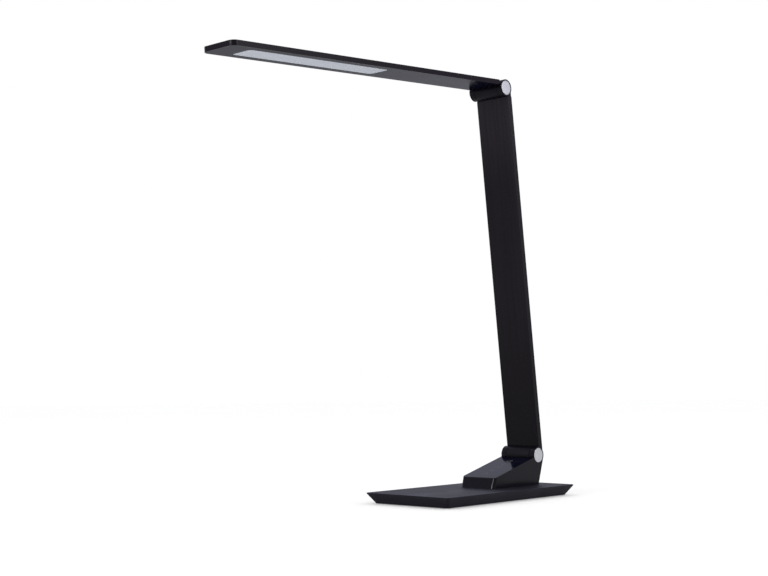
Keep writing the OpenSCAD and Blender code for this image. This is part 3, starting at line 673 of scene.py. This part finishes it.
def metal(name, tone, rough=0.35, marks_apart=0.00035, axis=2):
    """Machined steel with fine tool marks across one axis."""
    finish = Finish(name, Metallic=1.0)
    stretch = tuple(8.0 if i == axis else 1.0 for i in range(3))
    marks = finish.noise(finish.place(scale=stretch), scale=1.0/marks_apart, detail=3.0)
    dull = finish.noise(finish.place(), scale=60.0, detail=3.0)
    finish.set(
        Base_Color=finish.blend(marks*0.5 + dull*0.5, shade(tone, 0.75), shade(tone, 1.15)),
        Roughness=rough + marks*0.12 + dull*0.10,
    )
    return finish.bump(marks, distance=0.00001)


def plain(name, tone, rough=0.5, grain=900.0, sheen=0.4):
    """A moulded or sheet part that is mostly hidden: fine grain and a soft cloud of tone."""
    finish = Finish(name, Specular_IOR_Level=sheen)
    fine = finish.noise(finish.place(), scale=grain, detail=3.0)
    cloud = finish.noise(finish.place(), scale=grain/30.0)
    finish.set(
        Base_Color=finish.blend(fine*0.4 + cloud*0.6, shade(tone, 0.8), shade(tone, 1.2)),
        Roughness=rough + (fine - 0.5)*0.15,
    )
    return finish.bump(fine, distance=0.00001)


def ribbed_rubber(name, tone, spacing):
    """Rubber with shallow ribs across it and a dusty bloom between them."""
    finish = Finish(name, Specular_IOR_Level=0.25)
    x, y, _ = finish.split(finish.place())
    ribs = ((x + y)*math.tau/spacing).sine()*((x - y)*math.tau/spacing).sine()
    grain = finish.noise(finish.place(), scale=1400.0, detail=3.0)
    finish.set(
        Base_Color=finish.blend(ribs.ease(-0.2, 0.6), shade(tone, 1.8), tone),
        Roughness=0.75 + grain*0.15,
    )
    return finish.bump(ribs*0.8 + grain*0.2, distance=0.00015)


def board_green(name, tone):
    """Circuit board: solder mask with paler tracks and bright pads on a fine grid."""
    finish = Finish(name, Specular_IOR_Level=0.5)
    x, y, _ = finish.split(finish.place())
    apart_across, apart_down = 0.0031, 0.0043
    across = (x*math.tau/apart_across).sine()
    down = (y*math.tau/apart_down).sine()
    tracks = (abs(across) < 0.22).most(abs(down) < 0.16)
    pads = (across > 0.93)*(down > 0.93)
    weave = finish.noise(finish.place(), scale=1600.0)
    base = finish.blend(tracks*0.8, tone, shade(tone, 1.9))
    finish.set(
        Base_Color=finish.blend(pads, base, TINNED),
        Metallic=pads*0.9,
        Roughness=0.32 + weave*0.12,
    )
    return finish.bump(tracks, distance=0.00003)


def emitter(name, tone):
    """Emitter packages under a pale yellow phosphor."""
    finish = Finish(name, Specular_IOR_Level=0.4)
    fine = finish.noise(finish.place(), scale=1200.0)
    finish.set(Base_Color=finish.blend(fine, tone, shade(tone, 1.15)), Roughness=0.4 + fine*0.15)
    return finish


def inner_finishes(sizes, colours):
    """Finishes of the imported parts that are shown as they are, by material slot."""
    steel = colours.steel
    return {
        "ballast_steel": metal("Ballast steel", shade(steel, 0.7), rough=0.45, marks_apart=0.0006, axis=1),
        "cover_black": satin_black("Cover black", (0.020, 0.020, 0.021), rough=0.5),
        "screw_steel": metal("Screw steel", steel, rough=0.28),
        "screw_black": metal("Blackened screw", (0.03, 0.03, 0.032)),
        "spring_steel": metal("Spring steel", shade(steel, 0.8), rough=0.3, marks_apart=0.0003, axis=0),
        "pin_steel": metal("Pin steel", steel, rough=0.22, marks_apart=0.0003, axis=0),
        "washer_polymer": plain("Washer polymer", (0.62, 0.60, 0.55)),
        "pad_rubber": ribbed_rubber("Pad rubber", colours.rubber, sizes.pad_rib),
        "board_green": board_green("Board green", (0.012, 0.085, 0.035)),
        "component_black": plain("Component black", (0.015, 0.015, 0.016), rough=0.4),
        "inlet_black": satin_black("Inlet black", (0.008, 0.008, 0.008), rough=0.4),
        "cable_red": plain("Cable red", (0.30, 0.02, 0.015), rough=0.45, grain=1200.0),
        "guide_clear": plain("Guide clear", (0.85, 0.90, 0.92), rough=0.12, grain=500.0, sheen=0.5),
        "reflector_white": plain("Reflector white", (0.86, 0.86, 0.85), rough=0.6),
        "strip_white": plain("Strip white", (0.80, 0.80, 0.76)),
        "led_yellow": emitter("Emitter yellow", (0.85, 0.72, 0.22)),
    }


# ---------------------------------------------------------------- operators


class LampOperator(Operator):
    bl_options = {"REGISTER", "UNDO"}

    def settings(self, context):
        scene = context.scene
        return scene.desk_lamp_sizes, scene.desk_lamp_colours, scene.desk_lamp_stage


class DESKLAMP_OT_base_plate(LampOperator):
    """Model the weighted base plate: undercut sides, eased rim, recessed underside, posts and stand-offs"""

    bl_idname = "desk_lamp.base_plate"
    bl_label = "Base plate"

    LIP = 0.0004  # height of the upright lip at the foot of the sides
    ROOT = 0.0005  # how deep a post or a stand-off is sunk into the plate
    POST, POST_HOLE, POST_RECESS = 0.0032, 0.00135, 0.0016  # radii, and how far its end stays inside
    STAND, STAND_HOLE, STAND_RISE = 0.0022, 0.00095, 0.0025  # radii, and height over the plate
    COVER_SCREW, BOARD_SCREW = 0.0025, 0.0018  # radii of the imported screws' heads
    HOLE_DEPTH = 0.8  # of the post's height

    def execute(self, context):
        sizes, colours, _ = self.settings(context)
        low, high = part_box("base_shell")
        deck = high.z - self.STAND_RISE
        foot = low.z + self.LIP
        inset = sizes.base_inset
        plate = block("base_plate", (low.x, low.y, deck - sizes.base_rim), (high.x, high.y, deck))
        with Shaping(plate) as edit:
            edit.edges(upright).bevel(sizes.base_corner, sizes.arc_steps)
            edit.faces(looks_down).extrude(0, 0, foot - deck + sizes.base_rim)
            for sx in (-1, 1):
                for sy in (-1, 1):
                    edit.points(lambda p: near(p.z, foot) and p.x*sx > 0 and p.y*sy > 0)
                    edit.move(-sx*inset, -sy*inset, 0)
            edit.faces(looks_down).extrude(0, 0, low.z - foot)
            edit.inset(sizes.base_wall).extrude(0, 0, sizes.base_cavity)
            edit.edges(lambda a, b: near(a.z, deck) and near(b.z, deck)).bevel(sizes.rim_edge, 3)
        ceiling = low.z + sizes.base_cavity
        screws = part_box("cover_screws")
        xs = (screws[0].x + self.COVER_SCREW, screws[1].x - self.COVER_SCREW)
        ys = (screws[0].y + self.COVER_SCREW, 0.0, screws[1].y - self.COVER_SCREW)
        rings = [
            self.ring(
                "post", self.POST, self.POST_HOLE, low.z + self.POST_RECESS, ceiling + self.ROOT, (x, y)
            )
            for x in xs for y in ys
        ]
        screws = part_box("driver_board_screws")
        rings += [
            self.ring("stand_off", self.STAND, self.STAND_HOLE, deck - self.ROOT, high.z, (x, y))
            for x in (screws[0].x + self.BOARD_SCREW, screws[1].x - self.BOARD_SCREW)
            for y in (screws[0].y + self.BOARD_SCREW, screws[1].y - self.BOARD_SCREW)
        ]
        join(plate, *rings)
        eased(plate, sizes.soft_edge*0.6, corner=38.0)
        top = Vector((high.x, high.y, deck))
        material = rim_highlight_black("Satin plate black", colours.plate, low, top).material
        finished(plate, material, "base", "base_shell")
        return {"FINISHED"}

    def ring(self, name, outer, inner, low, high, centre):
        """A round post with a screw hole in its open end: a post opens down, a stand-off up."""
        post = disc(name, outer, low, high, centre, sides=32)
        end, inwards = (low, 1.0) if name == "post" else (high, -1.0)
        with Shaping(post) as edit:
            edit.faces(lambda c, n: near(c.z, end) and abs(n.z) > FACING).inset(outer - inner)
            edit.extrude(0, 0, inwards*self.HOLE_DEPTH*(high - low))
        return post


class DESKLAMP_OT_pedestal(LampOperator):
    """Ease the pedestal housing's edges and lay the touch panel with its plain marks on the slope"""

    bl_idname = "desk_lamp.pedestal"
    bl_label = "Pedestal and touch panel"

    # Depths under the slope, and reaches behind the panel's front, that hold the top of the front.
    FRONT_TOP = ((0.0030, 0.0013), (0.0016, 0.0039))
    RECESS_DEPTH, RECESS_BACK = 0.0022, 0.0003  # what holds the front of the panel's recess
    ON_SLOPE = 5e-5
    MARKS, MARK_SIZE = 5, 0.0026
    FIRST_MARK, LAST_MARK = 0.0125, 0.0095  # from the panel's back edge and from its front edge

    def execute(self, context):
        sizes, colours, _ = self.settings(context)
        place = slope_place(sizes)
        level = place.inverted()
        low, high = box_in("touch_panel", place)

        def nose(edit):
            """Leans the front back and lays the slope a little lower, round the touch panel's recess."""

            def near_front(p, depth, reach):
                spot = level @ p
                return spot.z > high.z - depth and spot.y < low.y + reach

            def on_slope(p):
                return abs((level @ p).z - high.z) < self.ON_SLOPE

            rim = sizes.nose_lean - self.RECESS_BACK
            edit.points(lambda p: any(near_front(p, *zone) for zone in self.FRONT_TOP))
            edit.move(*(place.to_3x3() @ Vector((0.0, sizes.nose_lean, 0.0))))
            edit.points(lambda p: on_slope(p) or near_front(p, self.RECESS_DEPTH, rim))
            edit.move(*(place.to_3x3() @ Vector((0.0, 0.0, -sizes.slope_drop))))

        housing = dressed("pedestal_housing", sizes.soft_edge, nose)
        material = satin_black("Housing black", colours.moulding, rough=0.17, sheen=0.10).material
        finished(housing, material, "base", "pedestal_housing")

        low.y += sizes.nose_lean
        high.z -= sizes.slope_drop
        panel = block("touch_panel_glass", low, high)
        with Shaping(panel) as edit:
            edit.edges(lambda a, b: upright(a, b) and near(a.y, low.y))
            edit.bevel(sizes.panel_front_corner, sizes.arc_steps)
            edit.edges(lambda a, b: upright(a, b) and near(a.y, high.y))
            edit.bevel(sizes.panel_back_corner, sizes.arc_steps)
            edit.edges(lambda a, b: near(a.z, high.z) and near(b.z, high.z)).bevel(sizes.soft_edge, 3)
        put(smooth(panel), place)
        first = high.y - self.FIRST_MARK
        step = (first - low.y - self.LAST_MARK)/(self.MARKS - 1)
        centres = [first - i*step for i in range(self.MARKS)]
        material = touch_black(
            "Touch panel black", colours.gloss, colours.mark, LOWER, sizes.slope, centres, self.MARK_SIZE
        ).material
        finished(panel, material, "base", "touch_panel")
        return {"FINISHED"}


class DESKLAMP_OT_stem(LampOperator):
    """Model the flat stem tube with its countersunk screw holes, and ease the two castings in its ends"""

    bl_idname = "desk_lamp.stem"
    bl_label = "Stem"

    EDGE_STEPS = 5
    SCREW_HOLE = 0.00155  # radius of a screw hole on the inside of the wall
    SEAT_GAP = 0.0003  # how much wider the countersink is than the screw's head
    PAST_INSIDE, PAST_OUTSIDE = 0.0001, 0.0002  # how far the countersink's tool goes past the wall

    def execute(self, context):
        sizes, colours, _ = self.settings(context)
        low, high = box_in("stem_tube", STEM)
        low.z = 0.0
        tube = block("stem_profile", low, high)
        with Shaping(tube) as edit:
            edit.edges(upright).bevel(sizes.stem_edge, self.EDGE_STEPS)
            edit.faces(lambda _, n: abs(n.z) > FACING).inset(sizes.stem_wall)
            bpy.ops.mesh.bridge_edge_loops()
        screws = box_in("stem_screws", STEM)
        head = sizes.screw_head
        tools = []
        for x in (screws[0].x + head, screws[1].x - head):
            for z in (screws[0].z + head, screws[1].z - head):
                tool = disc(
                    "countersink", self.SCREW_HOLE, -sizes.stem_wall - self.PAST_INSIDE, self.PAST_OUTSIDE,
                    sides=48, top_radius=head + self.SEAT_GAP,
                )
                spot = Matrix.Translation((x, high.y, z))
                tools.append(put(tool, spot @ Matrix.Rotation(-math.pi/2, 4, "X")))
        foot = disc("foot", sizes.stem_foot, 2*low.x, 2*high.x, sides=128)
        tools.append(put(foot, Matrix.Rotation(math.pi/2, 4, "Y")))
        cut(tube, *tools)
        put(eased(tube, sizes.soft_edge*0.5), STEM)
        material = brushed_black(
            "Brushed stem black", colours.anodised, LOWER, LEAN, along=2, worn=colours.worn
        ).material
        finished(tube, material, "stem", "stem_tube")
        for node, origin in (("stem_knuckle", LOWER), ("stem_yoke", UPPER)):
            casting = dressed(node, sizes.soft_edge)
            material = cast_black(f"{node} black", colours.casting, origin, LEAN).material
            finished(casting, material, "stem", node)
        return {"FINISHED"}


class DESKLAMP_OT_hinge_caps(LampOperator):
    """Turn one silver end cap and set a copy of it in each side of both hinges"""

    bl_idname = "desk_lamp.hinge_caps"
    bl_label = "Hinge caps"

    EDGE = 0.00035  # radius of the outer edge
    STEP = 0.0002  # width and depth of the step inside the rim
    CROWN, CROWN_RISE = 0.82, 0.00006  # how far in the face rises, as a part of the radius, and by how much

    def execute(self, context):
        sizes, colours, _ = self.settings(context)
        for joint, origin, body in (("lower", LOWER, "base"), ("upper", UPPER, "stem")):
            material = turned_silver(f"Turned silver {joint}", colours.silver, origin).material
            for side, turn in (("right", 1.0), ("left", -1.0)):
                node = f"{joint}_cap_{side}"
                low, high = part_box(node)
                radius = (high.z - low.z)/2
                thick = high.x - low.x
                cap = disc(f"{node}_turned", radius, 0.0, thick, sides=96)
                with Shaping(cap) as edit:
                    edit.faces(looks_up).inset(sizes.cap_rim + self.EDGE)
                    edit.inset(self.STEP).move(0, 0, -self.STEP)
                    edit.inset(radius*self.CROWN).move(0, 0, self.CROWN_RISE)
                    edit.edges(lambda a, b: near(a.z, thick) and near(b.z, thick) and a.length > radius)
                    edit.bevel(self.EDGE, 3)
                spot = Matrix.Translation((low.x if turn > 0 else high.x, origin.y, origin.z))
                put(smooth(cap, 25.0), spot @ Matrix.Rotation(turn*math.pi/2, 4, "Y"))
                finished(cap, material, body, node)
        return {"FINISHED"}


class DESKLAMP_OT_light_bar(LampOperator):
    """Model the light bar: its thin shell, the gloss bezel under it and the frosted light panel"""

    bl_idname = "desk_lamp.light_bar"
    bl_label = "Light bar"

    INNER_CORNER = 0.0005  # corner radius of the hollow at the hinge
    TONGUE_SLOT = 0.01415  # half the width of the slot for the hinge's tongue
    PANEL_THICK, PANEL_CORNER = 0.0006, 0.001
    PANEL_FIT = 0.00015  # gap round the light panel in the window
    PANEL_EDGE = 0.0001
    STEP_ROOT = 0.0003  # how deep the panel's step is sunk into it

    def execute(self, context):
        sizes, colours, _ = self.settings(context)
        place = bar_place(sizes)
        outline = box_in("head_shell", place)
        start = outline[0].y + sizes.window_tip
        window = (
            (-sizes.window_width/2, start),
            (sizes.window_width/2, start + sizes.window_length),
        )
        self.shell(sizes, colours, place, outline)
        self.bezel(sizes, colours, place, window)
        self.panel(sizes, colours, place, window)
        casting = dressed("head_knuckle", sizes.soft_edge)
        material = cast_black("head_knuckle black", colours.casting, UPPER, sizes.droop).material
        finished(casting, material, "head", "head_knuckle")
        return {"FINISHED"}

    def shell(self, sizes, colours, place, outline):
        low, high = outline
        wall = sizes.bar_wall
        steps = sizes.arc_steps
        shell = self.bar("light_bar_shell", low, high, sizes.bar_end_corner, sizes.bar_tip_corner, steps)
        hollow = self.bar(
            "hollow",
            Vector((low.x + wall, low.y + wall, low.z - CUT_PAST)),
            Vector((high.x - wall, high.y - wall, high.z - wall)),
            self.INNER_CORNER, sizes.bar_tip_corner - wall, steps,
        )
        slot = block(
            "slot",
            (-self.TONGUE_SLOT, high.y - wall - CUT_PAST, low.z - CUT_PAST),
            (self.TONGUE_SLOT, high.y + CUT_PAST, high.z - wall),
        )
        cut(shell, hollow, slot)
        put(eased(shell, sizes.soft_edge), place)
        material = brushed_black("Brushed bar black", colours.anodised, UPPER, sizes.droop, along=1).material
        finished(shell, material, "head", "head_shell")

    def bezel(self, sizes, colours, place, window):
        low, high = box_in("head_bezel", place)
        tip_corner = sizes.bar_tip_corner - sizes.bar_wall
        bezel = self.bar("underside_bezel", low, high, self.INNER_CORNER, tip_corner, sizes.arc_steps)
        opening = self.bar(
            "window",
            Vector((*window[0], low.z - CUT_PAST)),
            Vector((*window[1], high.z + CUT_PAST)),
            sizes.window_corner, sizes.window_corner, sizes.arc_steps,
        )
        cut(bezel, opening)
        put(eased(bezel, sizes.soft_edge*0.6), place)
        finished(bezel, gloss_black("Gloss bezel black", colours.gloss).material, "head", "head_bezel")

    def panel(self, sizes, colours, place, window):
        low, high = box_in("diffuser", place)
        fit, corner = self.PANEL_FIT, sizes.window_corner - self.PANEL_FIT
        panel = self.bar(
            "light_panel", Vector((low.x, low.y, high.z - self.PANEL_THICK)), high,
            self.PANEL_CORNER, self.PANEL_CORNER, 4,
        )
        step = self.bar(
            "step",
            Vector((window[0][0] + fit, window[0][1] + fit, low.z)),
            Vector((window[1][0] - fit, window[1][1] - fit, high.z - self.STEP_ROOT)),
            corner, corner, sizes.arc_steps,
        )
        modified(panel, "BOOLEAN", operation="UNION", solver="EXACT", object=step)
        bpy.data.objects.remove(step)
        put(eased(panel, self.PANEL_EDGE), place)
        material = milk_panel("Frosted panel", colours.milk, UPPER, sizes.droop).material
        finished(panel, material, "head", "diffuser")

    def bar(self, name, low, high, end_corner, tip_corner, steps):
        """A flat bar with its own corner radius at each end."""
        piece = block(name, low, high)
        with Shaping(piece) as edit:
            for y, corner in ((low.y, tip_corner), (high.y, end_corner)):
                edit.edges(lambda a, b: upright(a, b) and near(a.y, y)).bevel(corner, steps)
        return piece


class DESKLAMP_OT_packed_parts(LampOperator):
    """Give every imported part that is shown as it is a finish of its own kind"""

    bl_idname = "desk_lamp.packed_parts"
    bl_label = "Packed parts"

    def execute(self, context):
        sizes, colours, _ = self.settings(context)
        finishes = inner_finishes(sizes, colours)
        for node in frame["nodes"].values():
            for slot in node.material_slots:
                name = slot_name(slot)
                if name in finishes:
                    slot.material = finishes[name].material
        return {"FINISHED"}


class DESKLAMP_OT_stage(LampOperator):
    """Lay the pale floor, light it softly and stand the camera in front"""

    bl_idname = "desk_lamp.stage"
    bl_label = "Floor, light and camera"

    FLOOR_RADIUS = 6.0
    LAMP_DISTANCE = 2.2
    LAMPS_AIM = Vector((0.0, 0.0, 0.25))
    SENSOR = 36.0

    def execute(self, context):
        _, colours, stage = self.settings(context)
        self.floor(colours, stage)
        self.world(context, colours, stage)
        self.lamps(context, stage)
        self.camera(context, stage)
        context.scene.view_settings.view_transform = "Standard"
        return {"FINISHED"}

    def floor(self, colours, stage):
        bpy.ops.object.select_all(action="DESELECT")
        bpy.ops.mesh.primitive_circle_add(
            vertices=96, radius=self.FLOOR_RADIUS, fill_type="NGON", location=(0, 0, 0)
        )
        floor = settled("floor")
        finish = Finish("Pale floor", Roughness=0.9, Specular_IOR_Level=0.1, Emission_Strength=stage.lift)
        cloud = finish.noise(finish.place(), scale=3.0)
        looked_at, mirrored = finish.seen()
        light = finish.blend(mirrored, WHITE, colours.daylight)
        finish.set(
            Base_Color=finish.blend(cloud, shade(colours.floor, 0.99), colours.floor),
            Emission_Color=finish.blend(looked_at, (0.0, 0.0, 0.0), light),
        )
        floor.data.materials.append(finish.material)

    def world(self, context, colours, stage):
        world = bpy.data.worlds.new("Soft surroundings")
        context.scene.world = world
        world.use_nodes = True
        sky = Nodes(world.node_tree)
        back = sky.tree.nodes["Background"]
        looked_at, mirrored = sky.seen()
        sky.feed(back.inputs["Color"], sky.blend(mirrored, WHITE, colours.daylight))
        sky.feed(back.inputs["Strength"], looked_at*(1.0 - stage.surroundings) + stage.surroundings)

    def lamps(self, context, stage):
        """Upright lamps in a ring. Each row has the turn from the front in degrees, the width, the
        height, how high the middle stands, and whether it lights the lamp or is only mirrored."""
        for name, watts, turn, width, tall, middle, lights in (
            ("front_light", stage.front_light, -18.0, 0.5, 1.5, 0.9, True),
            ("side_light", stage.side_light, 124.0, 0.5, 1.5, 0.9, True),
            ("front_strip", stage.front_strip, 0.0, 0.35, 0.7, 1.15, False),
            ("side_strip", stage.side_strip, 100.0, 0.3, 0.7, 1.15, False),
        ):
            lamp = bpy.data.objects.new(name, bpy.data.lights.new(name, "AREA"))
            context.scene.collection.objects.link(lamp)
            lamp.visible_diffuse = lights
            lamp.data.shape = "RECTANGLE"
            lamp.data.size = width
            lamp.data.size_y = tall
            lamp.data.energy = watts
            turn = math.radians(turn)
            spot = Vector((math.sin(turn), -math.cos(turn), 0.0))*self.LAMP_DISTANCE
            spot.z = middle
            lamp.location = spot
            lamp.rotation_euler = (self.LAMPS_AIM - spot).to_track_quat("-Z", "Y").to_euler()

    def camera(self, context, stage):
        a, p, r = stage.azimuth, stage.pitch, stage.roll
        ahead = Vector((-math.sin(a)*math.cos(p), math.cos(a)*math.cos(p), math.sin(p)))
        level = Vector((math.cos(a), math.sin(a), 0.0))
        above = level.cross(ahead)
        right = level*math.cos(r) + above*math.sin(r)
        up = above*math.cos(r) - level*math.sin(r)
        point = Vector((0.0, LOWER.y, stage.point_height))
        spot = point - ahead*stage.distance - right*stage.shift_left + up*stage.shift_up
        camera = bpy.data.objects.new("camera", bpy.data.cameras.new("camera"))
        context.scene.collection.objects.link(camera)
        camera.data.lens = stage.lens
        camera.data.sensor_width = self.SENSOR
        axes = Matrix((right, up, -ahead)).transposed().to_4x4()
        camera.matrix_world = Matrix.Translation(spot) @ axes
        context.scene.camera = camera


class DESKLAMP_PT_panel(Panel):
    bl_idname = "DESKLAMP_PT_panel"
    bl_label = "Folding desk lamp"
    bl_space_type = "VIEW_3D"
    bl_region_type = "UI"
    bl_category = "Desk Lamp"

    def draw(self, context):
        scene = context.scene
        for group in (scene.desk_lamp_sizes, scene.desk_lamp_colours, scene.desk_lamp_stage):
            box = self.layout.box()
            for name in group.bl_rna.properties.keys():
                if name not in ("rna_type", "name"):
                    box.prop(group, name)
        for step in STEPS:
            self.layout.operator(step.bl_idname)


STEPS = (
    DESKLAMP_OT_base_plate,
    DESKLAMP_OT_pedestal,
    DESKLAMP_OT_stem,
    DESKLAMP_OT_hinge_caps,
    DESKLAMP_OT_light_bar,
    DESKLAMP_OT_packed_parts,
    DESKLAMP_OT_stage,
)
GROUPS = {
    "desk_lamp_sizes": DeskLampSizes,
    "desk_lamp_colours": DeskLampColours,
    "desk_lamp_stage": DeskLampStage,
}


def register():
    for cls in (*GROUPS.values(), *STEPS, DESKLAMP_PT_panel):
        bpy.utils.register_class(cls)
    for name, group in GROUPS.items():
        setattr(bpy.types.Scene, name, PointerProperty(type=group))


def unregister():
    for name in GROUPS:
        delattr(bpy.types.Scene, name)
    for cls in reversed((*GROUPS.values(), *STEPS, DESKLAMP_PT_panel)):
        bpy.utils.unregister_class(cls)


def main():
    register()
    for step in STEPS:
        group, name = step.bl_idname.split(".")
        getattr(getattr(bpy.ops, group), name)()


if __name__ == "__main__":
    main()
